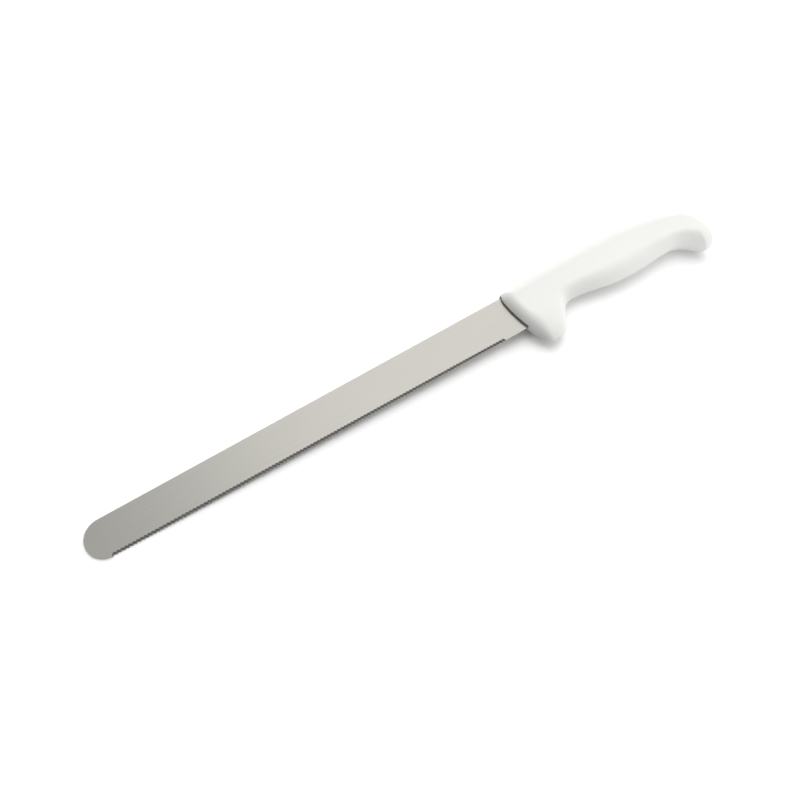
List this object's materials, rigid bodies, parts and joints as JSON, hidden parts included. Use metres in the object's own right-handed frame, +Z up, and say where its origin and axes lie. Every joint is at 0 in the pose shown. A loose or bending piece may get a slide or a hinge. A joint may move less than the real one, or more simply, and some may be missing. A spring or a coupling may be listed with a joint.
{
  "type": "serrated knife",
  "caption": "Long narrow serrated cake and pastry knife with a half-round tip, fine ground teeth, and a white moulded handle with finger guard and hooked butt.",
  "frame": {"origin": "middle of the knife's box, on the surface that it lies on", "axes": "+X from the tip to the butt, +Y from the cutting edge to the spine, +Z up from the surface that the knife lies on"},
  "size_m": [0.3854, 0.0414, 0.0187],
  "materials": {
    "blade_steel": "satin, ground along the blade",
    "handle_plastic": "white moulded polypropylene, fine satin"
  },
  "bodies": {
    "root": {"blade": "blade_steel", "handle": "handle_plastic"}
  },
  "joints": []
}
